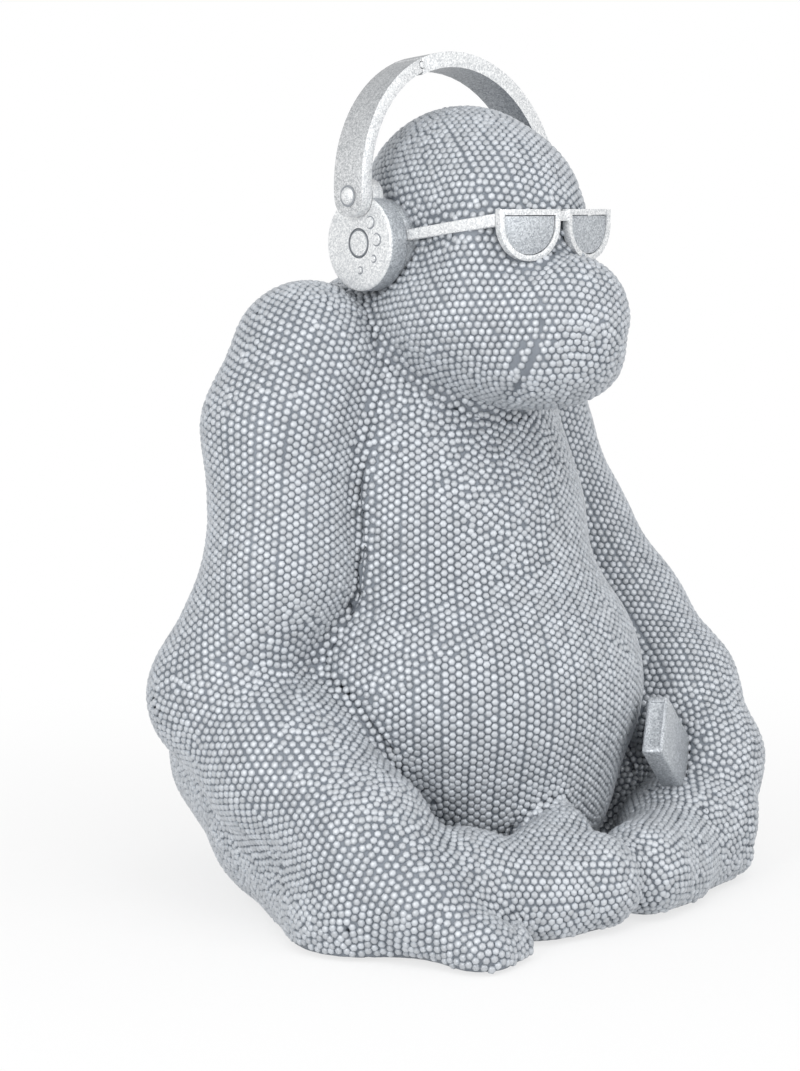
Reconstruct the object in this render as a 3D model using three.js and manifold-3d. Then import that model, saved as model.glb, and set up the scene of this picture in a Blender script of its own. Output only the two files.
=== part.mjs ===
// Seated gorilla figurine with headphones, glasses and a phone: hollow resin castings glued together.
// Millimetres, +Z up. The animal faces -Y and its left side is +X.

import * as THREE from 'three';
import { mergeVertices } from 'three/addons/utils/BufferGeometryUtils.js';
import { RoundedBoxGeometry } from 'three/addons/geometries/RoundedBoxGeometry.js';
import Module from 'manifold-3d';

const wasm = await Module();
wasm.setup();

// Main sizes: the headband's top sets the crown, the crown sets the shoulders, ears and glasses
const FIGURE_HEIGHT = 350;
const BAND_THICK_RIGHT = 5.3;
const BAND_THICK_LEFT = 6.5;
const BAND_GAP = 16;
const CROWN_Z = FIGURE_HEIGHT - BAND_THICK_LEFT - BAND_GAP;
const CROWN_TO_SHOULDER = 103.5;
const SHOULDER_Z = CROWN_Z - CROWN_TO_SHOULDER;
const FOREARM_Z = 56;
const MID_ARM_Z = (SHOULDER_Z + FOREARM_Z) / 2;
const ELBOW_X = 98;
const SEAT_BACK_Y = 120.2;
const SEAT_DEPTH = 76.5;

// Castings and their glue joints
const CLEARANCE = 0.3;
const CUT_PAST = 1;
const ROOM = 2 * FIGURE_HEIGHT;
const WALL = 8;
const LAP = 6;
const PROUD = 5;
const LIMB_BLEND = 8;
const NECK_BLEND = 7;
const FORM_BLEND = 16;
const FACE_BLEND = 14;
const CHAIN_BLEND = 8;
const FINGER_BLEND = 3;

// Felt pads and the plugged pour opening under the torso
const PAD_THICKNESS = 1.6;
const PAD_RADIUS = 8;
const PAD_SPOTS = [
  ['felt_pad_front_right', -20, -88],
  ['felt_pad_front_left', 20, -88],
  ['felt_pad_rear_right', -32, 68],
  ['felt_pad_rear_left', 32, 68],
];
const POUR_RADIUS = 18;
const POUR_REACH = 6;
const PLUG_FLANGE_RADIUS = 23;
const PLUG_FLANGE_THICKNESS = 3;
const PLUG_DEPTH = 11;
const POUR_Y = 24;

// Body forms: centre and radii of each rounded mass
const TORSO_FORMS = [
  { at: [0, -2, 86], radii: [83, 81, 70] },
  { at: [0, -12, 40], radii: [60, 60, 44] },
  { at: [0, SEAT_BACK_Y - SEAT_DEPTH, 46], radii: [78, SEAT_DEPTH, 62] },
  { at: [0, 40, SHOULDER_Z - 104], radii: [72, 60, 90] },
  { at: [0, 6, SHOULDER_Z - 74], radii: [65, 62, 66] },
  { at: [0, 24, SHOULDER_Z - 34], radii: [68, 58, 64] },
  { at: [0, 25, SHOULDER_Z + 2], radii: [53, 41, 36] },
];
const TORSO_SPINE = [[0, 26, 40], [0, 20, 110], [0, 20, SHOULDER_Z - 44], [0, 12, SHOULDER_Z + 12]];
const TORSO_HOLLOW_SPINE = [[0, 24, 34], [0, 20, 80], [0, 20, 124]];

const HEAD_FORMS = [
  { at: [0, -10, CROWN_Z - 43.5], radii: [37, 49, 43.5] },
  { at: [0, -23, CROWN_Z - 86.5], radii: [47, 50, 37] },
  { at: [0, -38, CROWN_Z - 41.5], radii: [31, 22, 24] },
  { at: [0, -44, CROWN_Z - 63.5], radii: [36, 18, 26] },
  { at: [0, -65, CROWN_Z - 86.5], radii: [27, 30, 28.5] },
  { at: [0, -56, CROWN_Z - 105.5], radii: [30, 29, 16] },
];
const NECK = [[0, 8, CROWN_Z - 99.5, 36], [0, 12, SHOULDER_Z - 12, 44]];
const HEAD_SPINE = [[0, 6, CROWN_Z - 59.5], [0, -24, CROWN_Z - 65.5], [0, -58, CROWN_Z - 85.5]];
const HEAD_HOLLOW_SPINE = [[0, -2, CROWN_Z - 55.5], [0, -24, CROWN_Z - 65.5], [0, -50, CROWN_Z - 83.5]];
const PLUG_NECK_RADIUS = 22;
const PLUG_NECK_DEPTH = 40;
const PLUG_NECK_BOTTOM = SHOULDER_Z - PLUG_NECK_DEPTH;
const PLUG_NECK_LAP = 16;
const NECK_BORE_RADIUS = 13;

// Limb chains: centre and radius of each station from the trunk outwards
const RIGHT_ARM = [
  [-58, 22, SHOULDER_Z, 32],
  [-74, 21, SHOULDER_Z - 28, 31],
  [-84, 10, MID_ARM_Z, 29],
  [-ELBOW_X, 29, 88, 30],
  [3 - ELBOW_X, -6, 64, 32],
  [5 - ELBOW_X, -50, 40, 27],
  [8 - ELBOW_X, -78, 20, 20],
  [12 - ELBOW_X, -106, 7, 12],
];
const RIGHT_ARM_SPINE = [
  [-58, 22, SHOULDER_Z],
  [-77, 19, SHOULDER_Z - 32],
  [-87, 9, MID_ARM_Z + 6],
  [3 - ELBOW_X, 8, 100],
  [3 - ELBOW_X, -16, 70],
  [7 - ELBOW_X, -50, 43],
  [13 - ELBOW_X, -80, 24],
  [19 - ELBOW_X, -99, 10],
];
const RIGHT_KNUCKLES = [[14 - ELBOW_X, -108, 6, 11], [29 - ELBOW_X, -107, 5, 9]];
const LEFT_ARM = [
  [58, 24, SHOULDER_Z - 4, 31],
  [75, 28, SHOULDER_Z - 36, 28],
  [89, 14, MID_ARM_Z + 4, 26],
  [ELBOW_X + 0.5, -8, 104, 29],
  [ELBOW_X + 1, -40, 74, 28],
  [94, -64, 48, 24],
  [82, -76, 28, 21],
];
const LEFT_FIST = { at: [77, -76, 27], radii: [19, 18, 17] };
const FINGER_RADIUS = 7.5;
const FINGER_HEIGHTS = [11, 22, 33];
const FINGER_KNUCKLE = [84, -90];
const FINGER_TIP = [63, -87];
const RIGHT_LEG = [
  [-49, 58, 54, 44],
  [-70, 16, 35, 36],
  [-92, -50, 13, 30],
  [-64, -75, 18, 25],
  [-37, -90, 16, 20],
  [-15.5, -99, 19, 20],
];
const RIGHT_TOE = [[-28, -84, 30, 13], [-12, -80, 35, 11]];
const RIGHT_LEG_SPINE = [
  [-47, 58, 52],
  [-64, 20, 34],
  [-76, -16, 22],
  [-74, -48, 16],
  [-56, -68, 17],
  [-36, -86, 16],
  [-16, -97, 18],
];
const LEFT_LEG = RIGHT_LEG.map(([x, y, z, r]) => [-x, y, z, r]);
const LEFT_LEG_SPINE = RIGHT_LEG_SPINE.map(([x, y, z]) => [-x, y, z]);

// Headphones: band arch over the head, cups on the ears
const EAR_Y = -1;
const CROWN_TO_EAR = 56.3;
const EAR_Z = CROWN_Z - CROWN_TO_EAR;
const CUSHION_INNER_X = 32;
const CUSHION_THICKNESS = 9;
const CUSHION_RADIUS = 18;
const CUSHION_ROUND = 3;
const CUP_THICKNESS = 9.5;
const CUP_RADIUS = 19.5;
const CUP_EDGE = 2.4;
const DIAL_RADIUS = 5.7;
const DIAL_GROOVE = 1.1;
const BUTTONS = [
  { turn: 50, radius: 2.3 },
  { turn: 6, radius: 2.3 },
  { turn: -33, radius: 1.3 },
  { turn: -82, radius: 1.3 },
];
const BUTTON_CIRCLE = 11;
const BUTTON_HEIGHT = 0.7;
const LUG_RADIUS = 7;
const LUG_STEP = 1.5;
const PIN_RISE = 19;
const PIN_Z = EAR_Z + PIN_RISE;
const PIN_RADIUS = 2.4;
const PIN_HEAD_RADIUS = 3.6;
const PIN_HEAD_HEIGHT = 2;
const PIN_DEPTH = 6;
const BAND_WIDTH = 17;
const BAND_TILT = 5;
const BAND_SEAM_X = -19;
const HINGE_RADIUS = 1.4;
const HINGE_PROUD = 0.5;

// Glasses: flat-topped half-round rims turned back on both sides of the bridge
const RIM_WIDTH = 29.8;
const RIM_HEIGHT = 20.6;
const RIM_STRAIGHT = 6;
const RIM_BORDER = 2.3;
const RIM_DEPTH = 3.2;
const RIM_FRONT_ROOM = 12;
const LENS_DEPTH = 1.8;
const BRIDGE_GAP = 5;
const BRIDGE_HEIGHT = 4;
const BRIDGE_INSET = 0.2;
const BRIDGE_DROP = 0.6;
const GLASSES_Y = -68;
const CROWN_TO_BROW = 42.5;
const GLASSES_Z = CROWN_Z - CROWN_TO_BROW;
const GLASSES_WRAP = 9;
const TEMPLE_START_HEIGHT = 5.2;
const TEMPLE_END_HEIGHT = 4.4;
const TEMPLE_DROP = 1.6;
const TEMPLE_THICKNESS = 3;
const TEMPLE_END_X = 40;
const TEMPLE_END_RISE = 3.4;
const TEMPLE_END_Z = EAR_Z + TEMPLE_END_RISE;

// Phone: a slab held across the belly
const PHONE_LENGTH = 48;
const PHONE_WIDTH = 26;
const PHONE_THICKNESS = 9;
const PHONE_EDGE = 1.2;
const PHONE_CENTRE = [55, -77, 59];
const PHONE_LONG = [0.734, 0.327, -0.595];
const PHONE_WIDE = [0.506, 0.322, 0.8];
const SCREEN_BORDER = 3;
const SCREEN_DEPTH = 0.7;

// Fields are negative inside a form and grow with the distance from it
function ellipsoid({ at, radii }) {
  return (x, y, z) => {
    const px = (x - at[0]) / radii[0];
    const py = (y - at[1]) / radii[1];
    const pz = (z - at[2]) / radii[2];
    const size = Math.hypot(px, py, pz);
    const slope = Math.hypot(px / radii[0], py / radii[1], pz / radii[2]);
    return slope < 1e-9 ? -Math.min(...radii) : (size * (size - 1)) / slope;
  };
}

function limb(a, b) {
  const [dx, dy, dz] = [b[0] - a[0], b[1] - a[1], b[2] - a[2]];
  const length2 = dx * dx + dy * dy + dz * dz;
  return (x, y, z) => {
    const [px, py, pz] = [x - a[0], y - a[1], z - a[2]];
    const t = Math.min(1, Math.max(0, (px * dx + py * dy + pz * dz) / length2));
    return Math.hypot(px - dx * t, py - dy * t, pz - dz * t) - a[3] - (b[3] - a[3]) * t;
  };
}

function blend(k, fields) {
  return (x, y, z) => {
    let value = fields[0](x, y, z);
    for (let i = 1; i < fields.length; i += 1) {
      const other = fields[i](x, y, z);
      const h = Math.max(k - Math.abs(value - other), 0) / k;
      value = Math.min(value, other) - (h * h * k) / 4;
    }
    return value;
  };
}

function chain(stations) {
  return blend(CHAIN_BLEND, stations.slice(1).map((station, i) => limb(stations[i], station)));
}

const fingers = FINGER_HEIGHTS.map((z) => limb(
  [...FINGER_KNUCKLE, z, FINGER_RADIUS],
  [...FINGER_TIP, z, FINGER_RADIUS],
));
const leftHand = blend(FINGER_BLEND, [ellipsoid(LEFT_FIST), ...fingers]);
const form = {
  torso: blend(FORM_BLEND, [...TORSO_FORMS.map(ellipsoid), limb(NECK[0], NECK[1])]),
  head: blend(FACE_BLEND, HEAD_FORMS.map(ellipsoid)),
  rightArm: blend(CHAIN_BLEND, [chain(RIGHT_ARM), chain(RIGHT_KNUCKLES)]),
  leftArm: blend(CHAIN_BLEND, [chain(LEFT_ARM), leftHand]),
  rightLeg: blend(CHAIN_BLEND, [chain(RIGHT_LEG), chain(RIGHT_TOE)]),
  leftLeg: chain(LEFT_LEG),
};
const limbForms = [form.rightLeg, form.leftLeg, form.rightArm, form.leftArm];
const belowTheNeck = blend(LIMB_BLEND, [form.torso, ...limbForms]);
const wholeBody = blend(NECK_BLEND, [belowTheNeck, form.head]);

// A casting is the part of the whole body that lies within LAP of its own form
function castingField(own) {
  return (x, y, z) => Math.max(wholeBody(x, y, z), own(x, y, z) - LAP);
}

// The room that a casting takes out of its neighbour, with the glue gap
function seatField(own) {
  return (x, y, z) => Math.max(wholeBody(x, y, z) - PROUD, own(x, y, z) - LAP - CLEARANCE);
}

// The hollow of a casting: a wall inside its own form and clear of everything seated in it
function hollowField(own, seated) {
  return (x, y, z) => {
    const walls = seated.map((other) => WALL + LAP + CLEARANCE - other(x, y, z));
    return Math.max(own(x, y, z) + WALL, ...walls);
  };
}

function reach(field, origin, direction) {
  const { x, y, z } = direction;
  const at = (t) => field(origin.x + x * t, origin.y + y * t, origin.z + z * t);
  let far = 1;
  while (at(far) < 0) far += 2;
  let near = far - 2;
  for (let i = 0; i < 14; i += 1) {
    const middle = (near + far) / 2;
    if (at(middle) < 0) near = middle;
    else far = middle;
  }
  return origin.clone().addScaledVector(direction, far);
}

// Closed skin of a field: rings round a spine, with a dome of rings at both ends
function skin(field, spine, rings, segments, domes) {
  const curve = new THREE.CatmullRomCurve3(spine.map(([x, y, z]) => new THREE.Vector3(x, y, z)));
  const frames = curve.computeFrenetFrames(rings - 1, false);
  const stations = [];
  for (let j = domes; j > 0; j -= 1) stations.push([0, (-j / (domes + 1)) * 90]);
  for (let i = 0; i < rings; i += 1) stations.push([i, 0]);
  for (let j = 1; j <= domes; j += 1) stations.push([rings - 1, (j / (domes + 1)) * 90]);

  const points = [reach(field, curve.getPointAt(0), frames.tangents[0].clone().negate())];
  for (const [i, tilt] of stations) {
    const centre = curve.getPointAt(i / (rings - 1));
    const along = Math.sin(THREE.MathUtils.degToRad(tilt));
    const across = Math.cos(THREE.MathUtils.degToRad(tilt));
    for (let s = 0; s < segments; s += 1) {
      const turn = (s / segments) * Math.PI * 2;
      const direction = frames.tangents[i].clone().multiplyScalar(along);
      direction.addScaledVector(frames.normals[i], Math.cos(turn) * across);
      direction.addScaledVector(frames.binormals[i], Math.sin(turn) * across);
      points.push(reach(field, centre, direction));
    }
  }
  points.push(reach(field, curve.getPointAt(1), frames.tangents[rings - 1].clone()));

  const faces = [];
  const last = points.length - 1;
  const lastRing = 1 + (stations.length - 1) * segments;
  for (let s = 0; s < segments; s += 1) {
    const next = (s + 1) % segments;
    faces.push(0, 1 + next, 1 + s);
    faces.push(last, lastRing + s, lastRing + next);
    for (let r = 0; r < stations.length - 1; r += 1) {
      const low = 1 + r * segments;
      const high = low + segments;
      faces.push(low + s, low + next, high + s);
      faces.push(low + next, high + next, high + s);
    }
  }
  const geometry = new THREE.BufferGeometry();
  const flat = points.flatMap((p) => p.toArray());
  geometry.setAttribute('position', new THREE.Float32BufferAttribute(flat, 3));
  geometry.setIndex(faces);
  return solidOf(geometry);
}

// Closed geometry to a solid: shared corners, no collapsed faces
function solidOf(geometry) {
  const bare = geometry.clone();
  bare.deleteAttribute('normal');
  bare.deleteAttribute('uv');
  const merged = mergeVertices(bare, 1e-4);
  const index = merged.index.array;
  const triVerts = [];
  for (let i = 0; i < index.length; i += 3) {
    const [a, b, c] = [index[i], index[i + 1], index[i + 2]];
    if (a !== b && b !== c && c !== a) triVerts.push(a, b, c);
  }
  return new wasm.Manifold(new wasm.Mesh({
    numProp: 3,
    vertProperties: new Float32Array(merged.attributes.position.array),
    triVerts: new Uint32Array(triVerts),
  }));
}

function geometryOf(solid) {
  const mesh = solid.getMesh();
  const geometry = new THREE.BufferGeometry();
  geometry.setAttribute('position', new THREE.Float32BufferAttribute(mesh.vertProperties, 3));
  geometry.setIndex([...mesh.triVerts]);
  geometry.computeVertexNormals();
  return geometry;
}

function box(width, depth, height, x, y, z) {
  const geometry = new THREE.BoxGeometry(width, depth, height);
  geometry.translate(x, y, z);
  return solidOf(geometry);
}

function upright(radius, bottom, top, x, y, segments) {
  const geometry = new THREE.CylinderGeometry(radius, radius, top - bottom, segments);
  geometry.rotateX(Math.PI / 2);
  geometry.translate(x, y, (top + bottom) / 2);
  return solidOf(geometry);
}

// Rods and discs lie along X at the ears; side is -1 on the right and 1 on the left
function rod(radius, from, to, y, z, side, segments) {
  const geometry = new THREE.CylinderGeometry(radius, radius, to - from, segments);
  geometry.rotateZ(Math.PI / 2);
  geometry.translate((side * (from + to)) / 2, y, z);
  return solidOf(geometry);
}

function disc(profile, y, z, side, segments) {
  const geometry = new THREE.LatheGeometry(profile.map(([r, x]) => new THREE.Vector2(r, x)), segments);
  geometry.rotateZ(-Math.PI / 2);
  if (side < 0) geometry.rotateZ(Math.PI);
  geometry.translate(0, y, z);
  return solidOf(geometry);
}

const paint = {
  studs: new THREE.MeshStandardMaterial({ color: 0xa6abb2, roughness: 0.45, metalness: 0.3 }),
  smooth: new THREE.MeshStandardMaterial({ color: 0xcdcfd0, roughness: 0.4, metalness: 0.3 }),
  plug: new THREE.MeshStandardMaterial({ color: 0x2b2b2d, roughness: 0.8 }),
  felt: new THREE.MeshStandardMaterial({ color: 0x1d1d1f, roughness: 0.95 }),
};

const figure = new THREE.Group();
figure.name = 'gorilla_figurine';

function place(name, solid, material) {
  const mesh = new THREE.Mesh(geometryOf(solid), material);
  mesh.name = name;
  figure.add(mesh);
}

// Phone, and the slot it takes in the hand
const phoneTurn = new THREE.Matrix4();
const phoneLong = new THREE.Vector3(...PHONE_LONG).normalize();
const phoneFace = phoneLong.clone().cross(new THREE.Vector3(...PHONE_WIDE)).normalize();
const phoneWide = phoneFace.clone().cross(phoneLong);
phoneTurn.makeBasis(phoneLong, phoneWide, phoneFace);
phoneTurn.setPosition(...PHONE_CENTRE);

function inPhone(geometry, x, y, z) {
  geometry.translate(x, y, z);
  geometry.applyMatrix4(phoneTurn);
  return solidOf(geometry);
}

const phoneSlot = inPhone(new THREE.BoxGeometry(
  PHONE_LENGTH + 2 * CLEARANCE,
  PHONE_WIDTH + 2 * CLEARANCE,
  PHONE_THICKNESS + 2 * CLEARANCE,
), 0, 0, 0);
const screen = new THREE.BoxGeometry(
  PHONE_LENGTH - 2 * SCREEN_BORDER,
  PHONE_WIDTH - 2 * SCREEN_BORDER,
  2 * SCREEN_DEPTH,
);
const endPanel = new THREE.BoxGeometry(
  2 * SCREEN_DEPTH,
  PHONE_WIDTH - 2 * SCREEN_BORDER,
  PHONE_THICKNESS - SCREEN_BORDER,
);
const slab = new RoundedBoxGeometry(PHONE_LENGTH, PHONE_WIDTH, PHONE_THICKNESS, 1, PHONE_EDGE);
const phone = inPhone(slab, 0, 0, 0)
  .subtract(inPhone(screen, 0, 0, -PHONE_THICKNESS / 2))
  .subtract(inPhone(endPanel, -PHONE_LENGTH / 2, 0, 0));

// Ear cushions, cups with their dial and buttons, and the pins of the band
const cushionOuterX = CUSHION_INNER_X + CUSHION_THICKNESS;
const cupInnerX = cushionOuterX + CLEARANCE;
const cupOuterX = cupInnerX + CUP_THICKNESS;
const tabInnerX = cupOuterX + CLEARANCE;

function cushion(side, grow) {
  const r = CUSHION_RADIUS + grow;
  const inner = CUSHION_INNER_X - grow;
  const outer = cushionOuterX + grow;
  const profile = [
    [0, inner],
    [r - CUSHION_ROUND, inner],
    [r - CUSHION_ROUND * 0.3, inner + CUSHION_ROUND * 0.3],
    [r, inner + CUSHION_ROUND],
    [r, outer - CUSHION_ROUND],
    [r - CUSHION_ROUND * 0.3, outer - CUSHION_ROUND * 0.3],
    [r - CUSHION_ROUND, outer],
    [0, outer],
  ];
  return disc(profile, EAR_Y, EAR_Z, side, 22);
}

function cup(side) {
  const r = CUP_RADIUS;
  const profile = [
    [0, cupInnerX],
    [r - CUP_EDGE, cupInnerX],
    [r, cupInnerX + CUP_EDGE],
    [r, cupOuterX - CUP_EDGE],
    [r - CUP_EDGE * 0.3, cupOuterX - CUP_EDGE * 0.3],
    [r - CUP_EDGE, cupOuterX],
    [DIAL_RADIUS + DIAL_GROOVE / 2, cupOuterX],
    [DIAL_RADIUS, cupOuterX - DIAL_GROOVE],
    [DIAL_RADIUS - DIAL_GROOVE / 2, cupOuterX],
    [0, cupOuterX],
  ];
  let solid = disc(profile, EAR_Y, EAR_Z, side, 26);
  for (const { turn, radius } of BUTTONS) {
    const angle = THREE.MathUtils.degToRad(turn);
    const y = EAR_Y - Math.cos(angle) * BUTTON_CIRCLE;
    const z = EAR_Z + Math.sin(angle) * BUTTON_CIRCLE;
    solid = solid.add(rod(radius, cupOuterX - CUT_PAST, cupOuterX + BUTTON_HEIGHT, y, z, side, 8));
  }
  const lug = rod(LUG_RADIUS, cupInnerX + LUG_STEP, cupOuterX - LUG_STEP, EAR_Y, PIN_Z, side, 20);
  const bore = rod(
    PIN_RADIUS + CLEARANCE, cupOuterX - PIN_DEPTH - CLEARANCE, cupOuterX + CUT_PAST, EAR_Y, PIN_Z, side, 16,
  );
  return solid.add(lug).subtract(bore);
}

function cupRoom(side, inner) {
  const grow = 2 * CLEARANCE;
  return rod(CUP_RADIUS + grow, inner, cupOuterX + grow, EAR_Y, EAR_Z, side, 26);
}

function bandPin(side, thickness) {
  const seat = tabInnerX + thickness + CLEARANCE;
  const profile = [[0, cupOuterX - PIN_DEPTH], [PIN_RADIUS, cupOuterX - PIN_DEPTH], [PIN_RADIUS, seat]];
  for (let i = 0; i < 4; i += 1) {
    const angle = (i / 4) * (Math.PI / 2);
    profile.push([PIN_HEAD_RADIUS * Math.cos(angle), seat + PIN_HEAD_HEIGHT * Math.sin(angle)]);
  }
  profile.push([0, seat + PIN_HEAD_HEIGHT]);
  return disc(profile, EAR_Y, PIN_Z, side, 14);
}

// Half of the arch: a strip between two half ellipses, leaning back over the pins
const tilt = THREE.MathUtils.degToRad(BAND_TILT);
const bandRise = (FIGURE_HEIGHT - PIN_Z - (BAND_WIDTH / 2) * Math.sin(tilt)) / Math.cos(tilt);

function leanBack(geometry) {
  geometry.rotateX(-tilt);
  geometry.translate(0, EAR_Y, PIN_Z);
  return solidOf(geometry);
}

function arc(radiusX, radiusZ, fromX, side, steps) {
  const start = Math.acos(fromX / radiusX);
  const points = [];
  for (let i = 0; i <= steps; i += 1) {
    const angle = start * (1 - i / steps);
    points.push(new THREE.Vector2(side * radiusX * Math.cos(angle), radiusZ * Math.sin(angle)));
  }
  return points;
}

function extrudeFront(shape, depth) {
  const options = { depth, steps: 1, bevelEnabled: false, curveSegments: 1 };
  const geometry = new THREE.ExtrudeGeometry(shape, options);
  geometry.rotateX(Math.PI / 2);
  return geometry;
}

const hingeZ = (bandRise - BAND_THICK_RIGHT / 2)
  * Math.sin(Math.acos(-BAND_SEAM_X / (tabInnerX + BAND_THICK_RIGHT / 2)));

function hinge(radius, length) {
  const geometry = new THREE.CylinderGeometry(radius, radius, length, 14);
  geometry.translate(BAND_SEAM_X, 0, hingeZ);
  return leanBack(geometry);
}

function band(side, thickness) {
  const seam = side * BAND_SEAM_X + CLEARANCE / 2;
  const outer = arc(tabInnerX + thickness, bandRise, seam, side, 18);
  const inner = arc(tabInnerX, bandRise - thickness, seam, side, 18);
  const strip = extrudeFront(new THREE.Shape([...outer, ...inner.reverse()]), BAND_WIDTH);
  strip.translate(0, BAND_WIDTH / 2, 0);
  const tab = rod(BAND_WIDTH / 2, tabInnerX, tabInnerX + thickness, EAR_Y, PIN_Z, side, 28);
  const outside = tabInnerX + thickness + CUT_PAST;
  const bore = rod(PIN_RADIUS + CLEARANCE, cupOuterX, outside, EAR_Y, PIN_Z, side, 16);
  const hingeBore = hinge(HINGE_RADIUS + CLEARANCE, BAND_WIDTH + 2 * CUT_PAST);
  return leanBack(strip).add(tab).subtract(bore).subtract(hingeBore);
}

// Glasses: rims, lens plates and temples
function rimOutline(side, inset) {
  const from = inset;
  const to = RIM_WIDTH - inset;
  const half = (to - from) / 2;
  const points = [[from, -inset], [to, -inset], [to, -RIM_STRAIGHT]];
  for (let i = 1; i <= 16; i += 1) {
    const angle = (i / 16) * Math.PI;
    const drop = (RIM_HEIGHT - RIM_STRAIGHT - inset) * Math.sin(angle);
    points.push([from + half + half * Math.cos(angle), -RIM_STRAIGHT - drop]);
  }
  return points.map(([x, z]) => new THREE.Vector2(side * x, z));
}

const wrap = THREE.MathUtils.degToRad(GLASSES_WRAP);

// Depth is measured backwards from the front of the rim
function onFront(geometry, side, depth) {
  geometry.translate(0, depth, 0);
  geometry.rotateZ(side * wrap);
  geometry.translate((side * BRIDGE_GAP) / 2, GLASSES_Y, GLASSES_Z);
  return solidOf(geometry);
}

function rim(side) {
  const shape = new THREE.Shape(rimOutline(side, 0));
  shape.holes.push(new THREE.Path(rimOutline(side, RIM_BORDER).reverse()));
  return onFront(extrudeFront(shape, RIM_DEPTH), side, RIM_DEPTH);
}

function lens(side) {
  const shape = new THREE.Shape(rimOutline(side, RIM_BORDER + CLEARANCE));
  return onFront(extrudeFront(shape, LENS_DEPTH), side, (RIM_DEPTH + LENS_DEPTH) / 2);
}

// The room of a rim in the face is open to the front
function rimSeat(side) {
  const shape = new THREE.Shape(rimOutline(side, -CLEARANCE));
  return onFront(extrudeFront(shape, RIM_FRONT_ROOM + RIM_DEPTH + CLEARANCE), side, RIM_DEPTH + CLEARANCE);
}

const bridge = box(
  BRIDGE_GAP + RIM_BORDER, RIM_DEPTH - 2 * BRIDGE_INSET, BRIDGE_HEIGHT,
  0, GLASSES_Y + RIM_DEPTH / 2 + BRIDGE_INSET, GLASSES_Z - BRIDGE_HEIGHT / 2 - BRIDGE_DROP,
);
const bridgeSeat = box(
  BRIDGE_GAP + RIM_BORDER, RIM_DEPTH + 2 * CLEARANCE, BRIDGE_HEIGHT + 2 * CLEARANCE,
  0, GLASSES_Y + RIM_DEPTH / 2 + BRIDGE_INSET, GLASSES_Z - BRIDGE_HEIGHT / 2 - BRIDGE_DROP,
);

function temple(side, grow) {
  const reachX = RIM_WIDTH - TEMPLE_THICKNESS / 2;
  const startX = BRIDGE_GAP / 2 + reachX * Math.cos(wrap) - RIM_DEPTH * Math.sin(wrap);
  const startY = GLASSES_Y + reachX * Math.sin(wrap) + RIM_DEPTH * Math.cos(wrap) + 2 * CLEARANCE;
  const startZ = GLASSES_Z - TEMPLE_DROP - TEMPLE_START_HEIGHT / 2;
  const endY = EAR_Y - CUSHION_RADIUS - CLEARANCE;
  const geometry = new THREE.BoxGeometry(TEMPLE_THICKNESS + 2 * grow, 1, 1);
  const corners = geometry.attributes.position;
  for (let i = 0; i < corners.count; i += 1) {
    const t = corners.getY(i) + 0.5;
    const height = TEMPLE_START_HEIGHT + (TEMPLE_END_HEIGHT - TEMPLE_START_HEIGHT) * t + 2 * grow;
    const x = startX + (TEMPLE_END_X - startX) * t;
    const z = startZ + (TEMPLE_END_Z - startZ) * t;
    const y = startY + (endY - startY) * t + (t - 0.5) * 2 * grow;
    corners.setXYZ(i, side * x + corners.getX(i), y, z + corners.getZ(i) * height);
  }
  return solidOf(geometry);
}

// Castings of the animal
const LIMB_RINGS = 18;
const LIMB_SEGMENTS = 16;
const LIMB_DOMES = 3;

function limbSkin(field, stations) {
  return skin(field, stations, LIMB_RINGS, LIMB_SEGMENTS, LIMB_DOMES);
}

function headSkin(field) {
  return skin(field, HEAD_SPINE, 11, 26, 6);
}

const belowBase = box(ROOM, ROOM, ROOM, 0, 0, PAD_THICKNESS - ROOM / 2);
const belowHollow = box(ROOM, ROOM, ROOM, 0, 0, PAD_THICKNESS + WALL - ROOM / 2);
const seat = {
  rightArm: limbSkin(seatField(form.rightArm), RIGHT_ARM_SPINE),
  leftArm: limbSkin(seatField(form.leftArm), LEFT_ARM),
  rightLeg: limbSkin(seatField(form.rightLeg), RIGHT_LEG_SPINE),
  leftLeg: limbSkin(seatField(form.leftLeg), LEFT_LEG_SPINE),
  head: headSkin(seatField(form.head)),
};

const neckTop = NECK[0][2] + PLUG_NECK_LAP;
const neckPlug = upright(PLUG_NECK_RADIUS, PLUG_NECK_BOTTOM, neckTop, 0, NECK[1][1], 26);
const neckSocket = upright(
  PLUG_NECK_RADIUS + CLEARANCE, PLUG_NECK_BOTTOM - CLEARANCE, neckTop, 0, NECK[1][1], 26,
);
const seatedInTorso = [...limbForms, form.head];
const torsoHollow = skin(hollowField(form.torso, seatedInTorso), TORSO_HOLLOW_SPINE, 7, 14, 3)
  .subtract(belowHollow);
const plugTop = PAD_THICKNESS + PLUG_FLANGE_THICKNESS;
const pourOpening = upright(POUR_RADIUS + CLEARANCE, 0, PAD_THICKNESS + WALL + POUR_REACH, 0, POUR_Y, 28)
  .add(upright(PLUG_FLANGE_RADIUS + CLEARANCE, 0, plugTop + CLEARANCE, 0, POUR_Y, 28));
const torso = skin(castingField(form.torso), TORSO_SPINE, 16, 28, 4)
  .subtract(belowBase)
  .subtract(seat.rightArm)
  .subtract(seat.leftArm)
  .subtract(seat.rightLeg)
  .subtract(seat.leftLeg)
  .subtract(seat.head)
  .subtract(neckSocket)
  .subtract(cupRoom(-1, CUSHION_INNER_X))
  .subtract(cupRoom(1, CUSHION_INNER_X))
  .subtract(torsoHollow)
  .subtract(pourOpening);
place('torso', torso, paint.studs);

const plug = upright(PLUG_FLANGE_RADIUS, PAD_THICKNESS, plugTop, 0, POUR_Y, 28)
  .add(upright(POUR_RADIUS, PAD_THICKNESS, PAD_THICKNESS + PLUG_DEPTH, 0, POUR_Y, 28));
place('base_plug', plug, paint.plug);

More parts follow.
